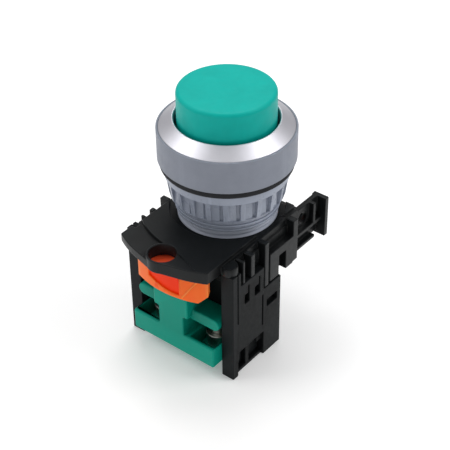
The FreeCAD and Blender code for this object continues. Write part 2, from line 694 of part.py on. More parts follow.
def make_housing():
    """The black shell: corner posts, side walls, a front panel behind the terminals, and a stepped back."""
    panel_front = "(terminal_back + terminal_panel)"
    solids = [
        box("BlockCap", ("-side_half_width + 1", "side_half_width - 1"), ("-post_back", "-block_step_back"),
            ("block_top - block_cap_thick", "block_top")),
        box("BlockBackUpper", ("-side_half_width + 1", "side_half_width - 1"),
            ("-block_step_back - 1.5", "-block_step_back"), ("block_step_level - 1.5", "block_top")),
        box("BlockStep", ("-side_half_width + 1", "side_half_width - 1"), ("-block_step_back - 1.5", "0"),
            ("block_step_level - 1.5", "block_step_level")),
        box("BlockFrontPanel", ("-side_half_width + 1", "side_half_width - 1"), (f"-{panel_front}", "-terminal_back"),
            ("terminal_bottom", "block_top")),
        box("BlockBackLower", ("-side_half_width + 1", "side_half_width - 1"), ("-1.5", "0"),
            ("block_bottom", "block_step_level")),
    ]
    cuts = [rod("PlungerGuide", "plunger_pin_radius + 0.1", ("block_step_level - 2", "block_top + 1"), y="-plunger_pin_y")]
    for name in ("Left", "Right"):

        def across(low, high):
            return (low, high) if name == "Right" else (f"-({high})", f"-({low})")

        cuts.append(box(f"TabSlot{name}", across("tab_inner - fit_gap", "tab_outer + fit_gap"),
                        (f"-{panel_front} - 0.2", "-terminal_back + 0.2"),
                        ("lintel_bottom - tab_thick - fit_gap", "lintel_bottom + fit_gap")))
        solids.append(box(f"ScrewPocket{name}", across("pocket_inner - pocket_wall", "pocket_outer + pocket_wall"),
                          (f"-{panel_front}", "-pocket_back + pocket_wall"),
                          ("terminal_bottom", "pocket_top + pocket_wall")))
        cuts.append(box(f"ScrewPocketHollow{name}", across("pocket_inner", "pocket_outer"),
                        (f"-{panel_front} - 1", "-pocket_back"), ("terminal_bottom - 0.1", "pocket_top")))
        cuts.append(rod(f"ShankClear{name}", "screw_radius + 0.1", ("pocket_top - 1", "screw_tip + 0.2"),
                        x="screw_x" if name == "Right" else "-screw_x", y="-screw_y"))
        wall_x = across("side_half_width - wall_thick", "side_half_width")
        skin_x = across("side_half_width - 1.1", "side_half_width + 1")
        line_x = across("side_half_width - 0.4", "side_half_width + 1")
        solids.append(box(f"Post{name}", across("post_inner", "side_half_width"), ("-block_front", "-post_back"),
                          ("block_bottom", "post_top")))
        solids.append(box(f"WallFront{name}", wall_x, ("-post_back", "-6.0"), ("block_bottom", "block_top")))
        solids.append(box(f"WallBack{name}", wall_x, ("-6.0", "0"), ("block_bottom", "block_step_level")))
        for index, (low, high) in enumerate((("-12.7", "-11.1"), ("-9.2", "-7.4"))):
            cuts.append(box(f"Window{name}{index}", skin_x, (low, high), ("-23.8", "-21.4")))
            cuts.append(box(f"WindowLine{name}{index}", line_x, (high + " - 0.4", high), ("-21.5", "-19.4")))
        cuts.append(box(f"HookClear{name}", across("deck_half_width - skirt_web - 0.1", "side_half_width + 1"),
                        ("-6.0", "1"), ("block_step_level + 0.1", "block_top + 1")))
        cuts.append(box(f"Slot{name}", skin_x, ("-4.9", "-1.2"), ("-29.7", "-27.8")))
        cuts.append(box(f"PanelLine{name}", line_x, ("-6.6", "-6.2"), ("-34.0", "-25.4")))
        cuts.append(box(f"PostLine{name}", line_x, ("-15.1", "-14.8"), ("-28.0", "post_top + 1")))
        recess = box(f"FootRecess{name}", across("side_half_width - wall_thick", "side_half_width + 1"),
                     ("-14.9", "-6.0"), ("block_bottom - 1", "-36.2"))
        teeth = [box(f"FootTooth{name}{index}", across("side_half_width - wall_thick", "side_half_width - 0.7"),
                     (low, high), (foot, "-36.2"))
                 for index, (low, high, foot) in enumerate((("-14.9", "-13.6", "-39.4"), ("-11.6", "-10.4", "block_bottom"),
                                                            ("-7.6", "-6.0", "-38.6")))]
        rail = box(f"FootRail{name}", across("side_half_width - wall_thick", "side_half_width - 0.7"),
                   ("-14.9", "-6.0"), ("block_bottom", "block_bottom + 0.9"))
        cuts.append(cut(f"FootCut{name}", recess, teeth + [rail]))
    cuts.append(box("BackFootCut", ("-side_half_width + 4", "side_half_width - 4"), ("-2.0", "1"),
                    ("block_bottom - 1", "base_bottom")))
    subpart("block_housing", cut("BlockHousing", fuse("BlockSolids", solids), cuts))


def make_terminal_body():
    """The green front: a hollow sill, a stepped column and two lintels over the wire entries."""
    front = "-terminal_front"
    back = "-terminal_back - terminal_panel - fit_gap"
    solids = [
        box("Sill", ("-terminal_half_width", "terminal_half_width"), (front, back), ("terminal_bottom", "sill_top")),
        box("Column", ("column_centre - column_half_width", "column_centre + column_half_width"), (front, back),
            ("sill_top", "column_step_level")),
        box("ColumnHead", ("column_centre - column_head_half_width", "column_centre + column_head_half_width"),
            (front, back), ("column_step_level", "column_top")),
    ]
    cuts = []
    for name, sign in (("Left", "-"), ("Right", "")):

        def across(low, high):
            return (low, high) if name == "Right" else (f"-({high})", f"-({low})")

        lintel_half = "(lintel_top - lintel_bottom) / 2"
        solids.append(box(f"Lintel{name}", across("column_half_width - 1", f"terminal_half_width - {lintel_half}"),
                          ("-lintel_front", back), ("lintel_bottom", "lintel_top")))
        end = rod(f"LintelEnd{name}", lintel_half, (back, "lintel_front"))
        end.Placement.Rotation = FreeCAD.Rotation(FreeCAD.Vector(1, 0, 0), 90)
        end.setExpression("Height", cell(f"lintel_front + {back}"))
        place(end, f"{sign}(terminal_half_width - {lintel_half})", back, f"lintel_bottom + {lintel_half}")
        solids.append(end)
        cuts.append(box(f"SillHollow{name}", across("tab_inner", "tab_outer - 0.3"),
                        ("-terminal_front + sill_wall", back + " + 1"), ("sill_floor", "sill_top + 1")))
        spot = {"x": f"{sign}screw_x", "y": "-screw_y"}
        cuts.append(box(f"ScrewWell{name}", across("screw_x - screw_well_half", "screw_x + screw_well_half"),
                        ("-screw_y - screw_well_half", "-screw_y + screw_well_half"), ("terminal_bottom - 1", "sill_top")))
        cuts.append(rod(f"ScrewHole{name}", "screw_radius + 0.07", ("lintel_bottom - 1", "screw_tip + 0.2"), **spot))
    subpart("terminal_body", cut("TerminalBody", fuse("TerminalSolids", solids), cuts))


def make_base():
    inner = "side_half_width - wall_thick - fit_gap"
    width = (f"-({inner})", inner)
    wells = []
    solids = [box("BasePlate", width, ("-terminal_back + fit_gap", "-1.5 - fit_gap"), ("base_bottom", "base_top"))]
    for name in ("Left", "Right"):
        x = (f"{inner} - 1.2", inner) if name == "Right" else (f"-({inner})", f"-({inner} - 1.2)")
        solids.append(box(f"Tray{name}", x, ("-terminal_back + fit_gap", "-1.5 - fit_gap"), ("base_bottom", "tray_top")))
        well_x = ("screw_x - screw_well_half", "screw_x + screw_well_half")
        if name == "Left":
            well_x = ("-screw_x - screw_well_half", "-screw_x + screw_well_half")
        wells.append(box(f"BaseWell{name}", well_x, ("-terminal_back - 1", "-screw_y + screw_well_half"),
                         ("base_bottom - 1", "base_top + 1")))
    seat_z = ("base_top", "base_top + 1.0")
    post = rod("SpringPeg", "plunger_spring_radius - plunger_spring_wire - fit_gap", seat_z, y="-contact_y")
    subpart("block_base", cut("BlockBase", fuse("BlockBaseSolids", solids + [post]), wells))


def make_contacts():
    for name, sign in (("left", "-"), ("right", "")):
        title = name.title()

        def across(low, high):
            return (low, high) if name == "right" else (f"-({high})", f"-({low})")

        tab_z = ("lintel_bottom - tab_thick", "lintel_bottom")
        tab = box(f"Tab{title}", across("tab_inner", "tab_outer - 0.9"), ("-tab_front", "-shelf_front"), tab_z)
        riser = box(f"Riser{title}", across("tab_inner", "tab_outer - 2"), ("-shelf_front - tab_thick", "-shelf_front"),
                    ("lintel_bottom - tab_thick", "shelf_level"))
        shelf = box(f"Shelf{title}", across("tab_inner", "tab_outer - 2"), ("-shelf_front", "-shelf_back"),
                    ("shelf_level - tab_thick", "shelf_level"))
        hole = rod(f"TabHole{title}", "screw_radius + 0.1", ("lintel_bottom - 2", "lintel_bottom + 1"),
                   x=f"{sign}screw_x", y="-screw_y")
        subpart(f"fixed_contact_{name}", cut(f"FixedContact{title}", fuse(f"FixedStrip{title}", [tab, riser, shelf]),
                                             [hole]))
        washer_z = ("screw_head_top + 0.05", "screw_head_top + 0.05 + washer_thick")
        washer = rod(f"WasherDisc{title}", "washer_radius", washer_z, x=f"{sign}screw_x", y="-screw_y")
        bore = rod(f"WasherBore{title}", "screw_radius + 0.1", washer_z, x=f"{sign}screw_x", y="-screw_y")
        subpart(f"clamp_washer_{name}", cut(f"ClampWasher{title}", washer, [bore]))
        make_screw(name, f"{sign}screw_x")
    make_tips("fixed_tips", "shelf_level")
    make_tips("bridge_tips", "bridge_top - tab_thick - tip_thick")
    bar = box("BridgeBar", ("-bridge_half_length", "bridge_half_length"),
              ("-contact_y - bridge_half_width", "-contact_y + bridge_half_width"),
              ("bridge_top - tab_thick", "bridge_top"))
    subpart("moving_bridge", bar)


def make_tips(node, low):
    """A pair of silver contact buttons."""
    title = node.title().replace("_", "")
    pair = [rod(f"{title}{name}", "tip_radius", (low, f"{low} + tip_thick"), x=f"{sign}tip_x", y="-contact_y")
            for name, sign in (("Left", "-"), ("Right", ""))]
    both = doc.addObject("Part::Compound", title)
    both.Links = pair
    subpart(node, both)


def make_screw(name, x):
    """A terminal screw with its cross-slotted head facing down."""
    title = name.title()
    head = rod(f"ScrewHead{title}", "screw_head_radius", ("screw_head_bottom", "screw_head_top"), x=x, y="-screw_y")
    shank = rod(f"ScrewShank{title}", "screw_radius", ("screw_head_top", "screw_tip"), x=x, y="-screw_y")
    slot_z = ("screw_head_bottom - 1", "screw_head_bottom + screw_slot_depth")
    half = "screw_slot / 2"
    reach = "screw_head_radius - 0.7"
    slots = [box(f"ScrewSlotA{title}", (f"{x} - {half}", f"{x} + {half}"),
                 (f"-screw_y - ({reach})", f"-screw_y + {reach}"), slot_z),
             box(f"ScrewSlotB{title}", (f"{x} - ({reach})", f"{x} + {reach}"),
                 (f"-screw_y - {half}", f"-screw_y + {half}"), slot_z)]
    subpart(f"terminal_screw_{name}", cut(f"TerminalScrew{title}", fuse(f"ScrewSolid{title}", [head, shank]), slots))


def make_plunger():
    block = box("PlungerBlock", ("-plunger_half_width", "plunger_half_width"),
                ("-plunger_front", "-plunger_back"), ("plunger_foot", "plunger_head"))
    pin = rod("PlungerPin", "plunger_pin_radius", ("plunger_head", "pusher_level - fit_gap"), y="-plunger_pin_y")
    window = box("PlungerWindow", ("-plunger_half_width - 1", "plunger_half_width + 1"),
                 ("-contact_y - window_half_depth", "-contact_y + window_half_depth"),
                 ("plunger_window_bottom", "plunger_window_top"))
    subpart("contact_plunger", cut("ContactPlunger", fuse("PlungerSolid", [block, pin]), [window]))


make_cap()
make_stem()
make_seal()
make_bezel()
make_barrel()
make_nut()
make_adaptor()
make_lever()
make_housing()
make_terminal_body()
make_base()
make_contacts()
make_plunger()
make_spring("return_spring", "return_spring_radius", "return_spring_wire", "web_top",
            "cap_top - cap_wall - stem_disc_thick", 5)
make_spring("plunger_spring", "plunger_spring_radius", "plunger_spring_wire", "base_top", "plunger_foot", 6,
            y="-contact_y")
make_spring("contact_spring", "contact_spring_radius", "contact_spring_wire", "bridge_top", "plunger_window_top", 3,
            y="-contact_y")

doc.recompute()
failed = [item.Name for item in doc.Objects if "Invalid" in item.State or "Error" in item.State]
for node, item in SUBPARTS.items():
    shape = item.Shape
    if shape.isNull() or not shape.isValid():
        failed.append(node)
if failed:
    raise RuntimeError("these objects failed: " + ", ".join(failed))

os.makedirs("parts", exist_ok=True)
for node, item in SUBPARTS.items():
    item.Shape.exportStep(f"parts/{node}.step")
    box_mm = item.Shape.BoundBox
    print(f"{node:22s} solids {len(item.Shape.Solids)}  volume {item.Shape.Volume:9.2f}  "
          f"z {box_mm.ZMin:7.2f} to {box_mm.ZMax:6.2f}")
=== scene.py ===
import json
import math

import bmesh
import bpy
from mathutils import Matrix, Vector


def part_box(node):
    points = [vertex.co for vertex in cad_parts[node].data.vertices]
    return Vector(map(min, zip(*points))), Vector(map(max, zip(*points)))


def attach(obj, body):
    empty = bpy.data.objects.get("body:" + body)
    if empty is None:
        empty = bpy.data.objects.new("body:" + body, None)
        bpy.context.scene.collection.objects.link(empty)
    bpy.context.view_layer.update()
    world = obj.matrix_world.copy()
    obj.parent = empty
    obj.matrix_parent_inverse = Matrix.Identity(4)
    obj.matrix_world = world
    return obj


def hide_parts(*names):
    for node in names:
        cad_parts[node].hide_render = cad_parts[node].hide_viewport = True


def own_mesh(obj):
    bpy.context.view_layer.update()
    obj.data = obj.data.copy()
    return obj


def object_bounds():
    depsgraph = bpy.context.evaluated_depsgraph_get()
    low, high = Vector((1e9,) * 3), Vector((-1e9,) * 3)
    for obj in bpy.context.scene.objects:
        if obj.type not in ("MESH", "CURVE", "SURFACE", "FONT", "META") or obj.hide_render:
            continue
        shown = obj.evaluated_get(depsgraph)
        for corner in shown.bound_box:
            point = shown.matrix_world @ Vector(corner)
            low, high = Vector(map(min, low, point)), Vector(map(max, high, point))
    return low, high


# Looks for an industrial push button: teal cap, aluminium ring, grey bezel and nut, black adaptor and
# block, orange lever and green terminals. Lengths are in metres unless a name ends in _MM.

MM = 0.001
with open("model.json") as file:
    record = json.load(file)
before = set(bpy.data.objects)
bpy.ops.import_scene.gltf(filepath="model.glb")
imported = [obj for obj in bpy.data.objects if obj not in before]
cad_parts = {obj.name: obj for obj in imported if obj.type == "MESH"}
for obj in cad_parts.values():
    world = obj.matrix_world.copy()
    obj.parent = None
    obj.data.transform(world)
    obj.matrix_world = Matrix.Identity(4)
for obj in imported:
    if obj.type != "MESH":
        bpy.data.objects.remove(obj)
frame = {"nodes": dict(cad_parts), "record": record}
NODES = frame["nodes"]
BODIES = frame["record"]["behaviour"]["bodies"]
SLOTS = {part["node"]: part["material_slot"] for part in frame["record"]["subparts"]}
CAD_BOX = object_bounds()
BODY_OF = {node: body for body, nodes in BODIES.items() for node in nodes}

# Colours as sRGB 0-255, the way they look on the real thing; the barrel's grey is lightened as painted
# light, the lever's top colour is painted shade and the lever's edge colour is partly a painted highlight
CAP_TEAL = (2, 174, 163)
TERMINAL_GREEN = (2, 131, 112)
LEVER_ORANGE = (255, 84, 4)
LEVER_RED = (255, 56, 4)
# Paler edge colour of the lever: partly wear, partly a painted highlight
LEVER_EDGE_WEAR_AND_HIGHLIGHT = (255, 132, 60)
# Painted shade: the colour of the lever's top, as it looks in shadow under the adaptor
LEVER_TOP_PAINTED_SHADE = (255, 90, 52)
BEZEL_GREY = (134, 139, 151)
NUT_GREY = (146, 153, 168)
# Painted light: the barrel is painted lighter than the nut's grey, standing in for light on its threads
# under the nut
BARREL_PAINTED_LIGHT_GREY = (176, 182, 196)
ALUMINIUM = (224, 223, 230)
MOULDED_BLACK = (17, 19, 20)
RUBBER_BLACK = (38, 39, 42)
NICKEL = (205, 205, 200)
BRASS = (205, 165, 90)
PLUNGER_WHITE = (225, 222, 210)
STEEL = (190, 192, 196)
SPRING_STEEL = (180, 182, 186)
SILVER = (225, 225, 228)
FLOOR_WHITE = (250, 250, 250)

# The lever's curved front, its sunken panel and its thin raised line. Angles run from the front (-Y)
# towards +X, and the line's ends are (angle, level in mm).
LEVER_RADIUS_MM = 22.4
PANEL_DEPTH_MM = 0.45
PANEL_TOP_MM = -15.3
PANEL_FOOT_MM = -18.9
PANEL_FOOT_DROP_MM = 1.6
PANEL_SPAN_DEG = (-9.5, 11.3)
RIDGE_START = (12.9, -20.9)
RIDGE_END = (22.0, -15.6)
RIDGE_PROFILE_MM = ((-0.28, -0.1), (-0.1, 0.13), (0.1, 0.13), (0.28, -0.1))

# Where the lever's colour turns redder: this deep below its curved front, and this far below its top, where
# the colour is painted shade
RED_DEPTHS = (0.42 * MM, 0.2 * MM)
TOP_PAINTED_SHADE_DEPTHS = (0.15 * MM, 0.05 * MM)

# Outlines of the turned pieces: (radius, height, rounding) at each corner
CAP_MM = [(0, 15.7, 0), (8.8, 15.7, 0.2), (8.8, 6.6, 0.1), (10.4, 6.6, 0.15), (10.4, 17.3, 0.85),
          (8.2, 17.3, 0), (0, 17.24, 0)]
BEZEL_MM = [(13.0, 1.45, 0.1), (14.745, 1.45, 0.18), (14.745, 8.8, 0.2), (14.3, 8.8, 0.08),
            (14.3, 8.35, 0.05), (13.0, 8.35, 0.05)]
INSERT_MM = [(11.05, 8.8, 0.05), (11.75, 8.8, 0.05), (11.75, 10.2, 0.05), (13.55, 8.35, 0.05),
             (14.25, 8.35, 0.05), (14.25, 8.8, 0.18), (11.3, 10.9, 0.25), (11.05, 10.7, 0.05)]
TURNED_MM = {"button_cap": CAP_MM, "bezel_ring": BEZEL_MM, "bezel_insert": INSERT_MM}

# Width of the rounding on each moulded or pressed piece
SOFT_EDGES_MM = {
    "panel_gasket": 0.1,
    "lock_nut": 0.12,
    "adaptor_frame": 0.16,
    "block_housing": 0.16,
    "terminal_body": 0.35,
    "block_base": 0.15,
    "terminal_screw_left": 0.12,
    "terminal_screw_right": 0.12,
    "clamp_washer_left": 0.12,
    "clamp_washer_right": 0.12,
}
LEVER_SOFT_EDGE_MM = 0.16
EDGE_SEGMENTS = 2

# Faces that turn less than the first angle are one flat face; edges that turn more than the second are sharp
FLAT_ANGLE = math.radians(0.5)
SHARP_ANGLE = math.radians(28.0)

# The web at each foot of the block: how far it reaches in front of the tray and into it, and its thickness
WEB_REACH = 3.3 * MM
WEB_OVERLAP = 0.2 * MM
WEB_THICK = 0.6 * MM

# Fits around the terminal screws, and how near two points are before they count as one
SCREW_GAP = 0.1 * MM
RING_OVERLAP = 0.05 * MM
RING_RISE = 0.3 * MM
WELD_MESH = 0.004 * MM
WELD_NEW = 0.0005 * MM


# ---------------------------------------------------------------- camera, lights and floor

VIEW_AZIMUTH = math.radians(38.77)
VIEW_ELEVATION = math.radians(37.02)
VIEW_ROLL = math.radians(-0.63)
VIEW_DISTANCE = 0.2603
VIEW_TARGET = Vector((-0.0008, 0.0, -0.01764))
SENSOR_WIDTH_MM = 36.0
FOCAL_LENGTH_MM = 94.94

# Soft square lamps: name, place, size and power in watts
LAMPS = (
    ("overhead", (-0.13, 0.16, 0.40), (0.28, 0.28), 0.95),
    ("left", (-0.25, -0.20, 0.33), (0.22, 0.22), 0.50),
    ("right", (0.27, 0.16, 0.33), (0.22, 0.22), 0.62),
    ("front", (0.09, -0.11, 0.43), (0.26, 0.26), 0.03),
    ("low_front", (0.10, -0.42, 0.10), (0.30, 0.12), 0.13),
)
LAMP_TARGET = Vector((0.0, 0.0, -0.01))
SKY_STRENGTH = 0.34
FLOOR_GLOW = 0.2
FLOOR_HALF = 1.2


def add_camera():
    """A camera in front, to the right and above, turned so that the object fills the frame."""
    back = Vector((math.sin(VIEW_AZIMUTH) * math.cos(VIEW_ELEVATION),
                   -math.cos(VIEW_AZIMUTH) * math.cos(VIEW_ELEVATION), math.sin(VIEW_ELEVATION)))
    level = (-back).cross(Vector((0, 0, 1))).normalized()
    upright = level.cross(-back)
    right = math.cos(VIEW_ROLL) * level + math.sin(VIEW_ROLL) * upright
    up = -math.sin(VIEW_ROLL) * level + math.cos(VIEW_ROLL) * upright
    data = bpy.data.cameras.new("camera")
    data.sensor_fit = "HORIZONTAL"
    data.sensor_width = SENSOR_WIDTH_MM
    data.lens = FOCAL_LENGTH_MM
    data.clip_start = 0.01
    camera = bpy.data.objects.new("camera", data)
    bpy.context.scene.collection.objects.link(camera)
    turn = Matrix((right, up, back)).transposed().to_4x4()
    camera.matrix_world = Matrix.Translation(VIEW_TARGET + back * VIEW_DISTANCE) @ turn
    bpy.context.scene.camera = camera


def add_light(name, place, size, power):
    """A soft lamp that faces the object."""
    data = bpy.data.lights.new(name, "AREA")
    data.shape = "RECTANGLE"
    data.size, data.size_y = size
    data.energy = power
    lamp = bpy.data.objects.new(name, data)
    bpy.context.scene.collection.objects.link(lamp)
    lamp.location = place
    lamp.rotation_euler = (LAMP_TARGET - Vector(place)).to_track_quat("-Z", "Y").to_euler()


def add_studio():
    """A pale room: an even white world, lamps overhead, and a floor under the block."""
    world = bpy.data.worlds.new("studio")
    world.use_nodes = True
    sky = world.node_tree.nodes["Background"]
    sky.inputs["Color"].default_value = (1.0, 1.0, 1.0, 1.0)
    sky.inputs["Strength"].default_value = SKY_STRENGTH
    bpy.context.scene.world = world
    for lamp in LAMPS:
        add_light(*lamp)
    level = CAD_BOX[0][2]
    corners = [(x * FLOOR_HALF, y * FLOOR_HALF, level) for x, y in ((-1, -1), (1, -1), (1, 1), (-1, 1))]
    floor_mesh = bpy.data.meshes.new("floor")
    floor_mesh.from_pydata(corners, [], [(0, 1, 2, 3)])
    floor = bpy.data.objects.new("floor", floor_mesh)
    bpy.context.scene.collection.objects.link(floor)
    floor_mesh.materials.append(floor_paper())


# ---------------------------------------------------------------- materials

# How many features to the metre: cloudy colour, wide ripples, the shine's unevenness and the mould's grain
MOTTLE = 260.0
RIPPLE = 120.0
SHINE = 900.0
GRAIN = 5200.0


def linear(colour):
    """An sRGB colour in 0-255 as the linear values that shaders take."""
    parts = [value / 255 for value in colour]
    bright = [part / 12.92 if part <= 0.04045 else ((part + 0.055) / 1.055) ** 2.4 for part in parts]
    return tuple(bright) + (1.0,)


class Recipe:
    """One material and short ways to add nodes to it."""

    def __init__(self, name):
        self.material = bpy.data.materials.new(name)
        self.material.use_nodes = True
        self.tree = self.material.node_tree
        self.shader = self.tree.nodes["Principled BSDF"]
        coordinates = self.tree.nodes.new("ShaderNodeTexCoord")
        self.place = coordinates.outputs["Object"]

    def set(self, **values):
        """Values that are the same all over, straight on the shader."""
        for name, value in values.items():
            self.shader.inputs[name.replace("_", " ")].default_value = value

    def stretched(self, scale):
        """The object's coordinates, scaled by a different amount on each axis."""
        node = self.tree.nodes.new("ShaderNodeMapping")
        node.inputs["Scale"].default_value = scale
        self.tree.links.new(self.place, node.inputs["Vector"])
        return node.outputs["Vector"]

    def noise(self, per_metre, detail=3.0, roughness=0.55, where=None):
        """Soft random values with that many features to the metre."""
        node = self.tree.nodes.new("ShaderNodeTexNoise")
        node.inputs["Scale"].default_value = per_metre
        node.inputs["Detail"].default_value = detail
        node.inputs["Roughness"].default_value = roughness
        self.tree.links.new(where or self.place, node.inputs["Vector"])
        return node.outputs["Fac"]

    def span(self, value, low, high, start=0.3, end=0.7):
        """A value's start..end range moved to low..high."""
        node = self.tree.nodes.new("ShaderNodeMapRange")
        node.inputs["From Min"].default_value = start
        node.inputs["From Max"].default_value = end
        node.inputs["To Min"].default_value = low
        node.inputs["To Max"].default_value = high
        self.tree.links.new(value, node.inputs["Value"])
        return node.outputs["Result"]

    def wear_and_highlight_mask(self):
        """0 in hollows, about a half on flats and 1 on edges, where wear and a painted highlight go."""
        node = self.tree.nodes.new("ShaderNodeNewGeometry")
        return self.span(node.outputs["Pointiness"], 0.0, 1.0, 0.46, 0.56)

    def rubbed_and_highlit(self, body, edge):
        """A colour that turns into another one along the edges: partly wear, partly a painted highlight."""
        return self.blend(self.span(self.wear_and_highlight_mask(), 0.0, 1.0, 0.55, 1.0), body, edge)

    def radius(self):
        """Distance from the button's axis."""
        flat = self.tree.nodes.new("ShaderNodeVectorMath")
        flat.operation = "MULTIPLY"
        flat.inputs[1].default_value = (1.0, 1.0, 0.0)
        self.tree.links.new(self.place, flat.inputs[0])
        length = self.tree.nodes.new("ShaderNodeVectorMath")
        length.operation = "LENGTH"
        self.tree.links.new(flat.outputs["Vector"], length.inputs[0])
        return length.outputs["Value"]

    def level(self):
        """Height above the panel."""
        node = self.tree.nodes.new("ShaderNodeSeparateXYZ")
        self.tree.links.new(self.place, node.inputs["Vector"])
        return node.outputs["Z"]

    def blend(self, factor, first, second):
        """Two colours, or a colour socket and a colour, mixed by a factor."""
        node = self.tree.nodes.new("ShaderNodeMix")
        node.data_type = "RGBA"
        self.join(factor, node.inputs["Factor"])
        self.join(first, node.inputs[6])
        self.join(second, node.inputs[7])
        return node.outputs[2]

    def join(self, source, socket):
        """Feed a socket from another socket, or give it a plain value."""
        if isinstance(source, (tuple, list, float, int)):
            socket.default_value = source
        else:
            self.tree.links.new(source, socket)

    def colour(self, source):
        """The base colour, from a socket or a plain value."""
        self.join(source, self.shader.inputs["Base Color"])

    def roughness(self, source):
        """The roughness, from a socket or a plain value."""
        self.join(source, self.shader.inputs["Roughness"])

    def bumps(self, *layers):
        """Each layer is (height source, strength, depth in metres); later layers ride on earlier ones."""
        normal = None
        for height, strength, depth in layers:
            node = self.tree.nodes.new("ShaderNodeBump")
            node.inputs["Strength"].default_value = strength
            node.inputs["Distance"].default_value = depth
            self.tree.links.new(height, node.inputs["Height"])
            if normal:
                self.tree.links.new(normal, node.inputs["Normal"])
            normal = node.outputs["Normal"]
        self.tree.links.new(normal, self.shader.inputs["Normal"])


def scaled(colour, amount):
    """A linear colour made lighter or darker."""
    return tuple(min(1.0, value * amount) for value in colour[:3]) + (1.0,)


def moulded(name, colour, rough=(0.35, 0.5), grain=GRAIN, depth=0.00002, variation=0.10, edge=1.15,
            gloss=0.25, **extra):
    """Moulded plastic: a slight mottle, fine spark-eroded grain and paler edges that are partly rubbed wear
    and partly a painted highlight.
    """
    recipe = Recipe(name)
    base = linear(colour)
    mottle = recipe.span(recipe.noise(MOTTLE), 0.0, 1.0)
    body = recipe.blend(mottle, scaled(base, 1.0 - variation), scaled(base, 1.0 + variation))
    # Paler edges: partly wear, partly a painted highlight
    recipe.colour(recipe.rubbed_and_highlit(body, scaled(base, edge)))
    recipe.roughness(recipe.span(recipe.noise(SHINE, detail=4.0), *rough))
    recipe.bumps((recipe.noise(RIPPLE, detail=2.0), 0.12, 0.00004),
                 (recipe.noise(grain, detail=2.0), 0.5, depth))
    recipe.set(Specular_IOR_Level=gloss, **extra)
    return recipe.material


def metal(name, colour, rough=(0.25, 0.4), scratch=(3000.0, 3000.0, 300.0), depth=0.000006,
          variation=0.06):
    """Bare or plated metal: fine lines one way and cloudy polish."""
    recipe = Recipe(name)
    base = linear(colour)
    cloud = recipe.span(recipe.noise(420.0), 0.0, 1.0)
    recipe.colour(recipe.blend(cloud, scaled(base, 1.0 - variation), scaled(base, 1.0 + variation)))
    recipe.roughness(recipe.span(recipe.noise(700.0, detail=5.0), *rough))
    recipe.bumps((recipe.noise(1.0, detail=2.0, where=recipe.stretched(scratch)), 0.4, depth))
    recipe.set(Metallic=1.0)
    return recipe.material


def glow(depth_mm, colour):
    """Values for light that spreads under the skin of a plastic."""
    return {"Subsurface_Scale": depth_mm * MM, "Subsurface_Radius": tuple(linear(colour)[:3])}


def lever_plastic(name):
    """Clear bright orange plastic, redder in the panel sunk in the lever's curved front, with painted shade
    on its top.
    """
    recipe = Recipe(name)
    base = linear(LEVER_ORANGE)
    mottle = recipe.span(recipe.noise(MOTTLE), 0.0, 1.0)
    body = recipe.blend(mottle, scaled(base, 0.94), scaled(base, 1.06))
    front = LEVER_RADIUS_MM * MM
    sunk = recipe.span(recipe.radius(), 1.0, 0.0, *(front - depth for depth in RED_DEPTHS))
    deep = recipe.blend(sunk, body, linear(LEVER_RED))
    # Paler lever edges: partly wear, partly a painted highlight
    rubbed_and_highlit = recipe.rubbed_and_highlit(deep, linear(LEVER_EDGE_WEAR_AND_HIGHLIGHT))
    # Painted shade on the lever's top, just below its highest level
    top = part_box("lock_lever")[1][2]
    shaded = recipe.span(recipe.level(), 0.0, 1.0, *(top - depth for depth in TOP_PAINTED_SHADE_DEPTHS))
    recipe.colour(recipe.blend(shaded, rubbed_and_highlit, linear(LEVER_TOP_PAINTED_SHADE)))
    recipe.roughness(recipe.span(recipe.noise(SHINE, detail=4.0), 0.28, 0.4))
    recipe.bumps((recipe.noise(RIPPLE, detail=2.0), 0.15, 0.00004),
                 (recipe.noise(GRAIN, detail=2.0), 0.4, 0.000015))
    recipe.set(Specular_IOR_Level=0.12, Subsurface_Weight=0.12, **glow(1.2, LEVER_ORANGE))
    return recipe.material


def turned_aluminium(name):
    """Satin anodised aluminium, turned on a lathe: rings of fine tool marks about the button's axis."""
    recipe = Recipe(name)
    nodes, links = recipe.tree.nodes, recipe.tree.links
    ring = nodes.new("ShaderNodeCombineXYZ")
    links.new(recipe.radius(), ring.inputs["X"])
    marks = recipe.noise(16000.0, detail=2.0, where=ring.outputs["Vector"])
    cloud = recipe.span(recipe.noise(300.0), 0.0, 1.0)
    base = linear(ALUMINIUM)
    recipe.colour(recipe.blend(cloud, scaled(base, 0.97), scaled(base, 1.02)))
    recipe.roughness(recipe.span(marks, 0.40, 0.47))
    recipe.bumps((marks, 0.12, 0.000004))
    tangent = nodes.new("ShaderNodeTangent")
    tangent.direction_type = "RADIAL"
    tangent.axis = "Z"
    links.new(tangent.outputs["Tangent"], recipe.shader.inputs["Tangent"])
    recipe.set(Metallic=1.0, Anisotropic=0.15)
    return recipe.material


def floor_paper():
    """Pale matt paper that glows a little, so that it stays white in the object's shade."""
    recipe = Recipe("floor_paper")
    base = linear(FLOOR_WHITE)
    recipe.colour(recipe.blend(recipe.noise(40.0), scaled(base, 0.985), base))
    recipe.roughness(recipe.span(recipe.noise(600.0), 0.8, 0.95))
    recipe.bumps((recipe.noise(1500.0), 0.15, 0.00003))
    recipe.set(Emission_Color=(1.0, 1.0, 1.0, 1.0), Emission_Strength=FLOOR_GLOW)
    return recipe.material


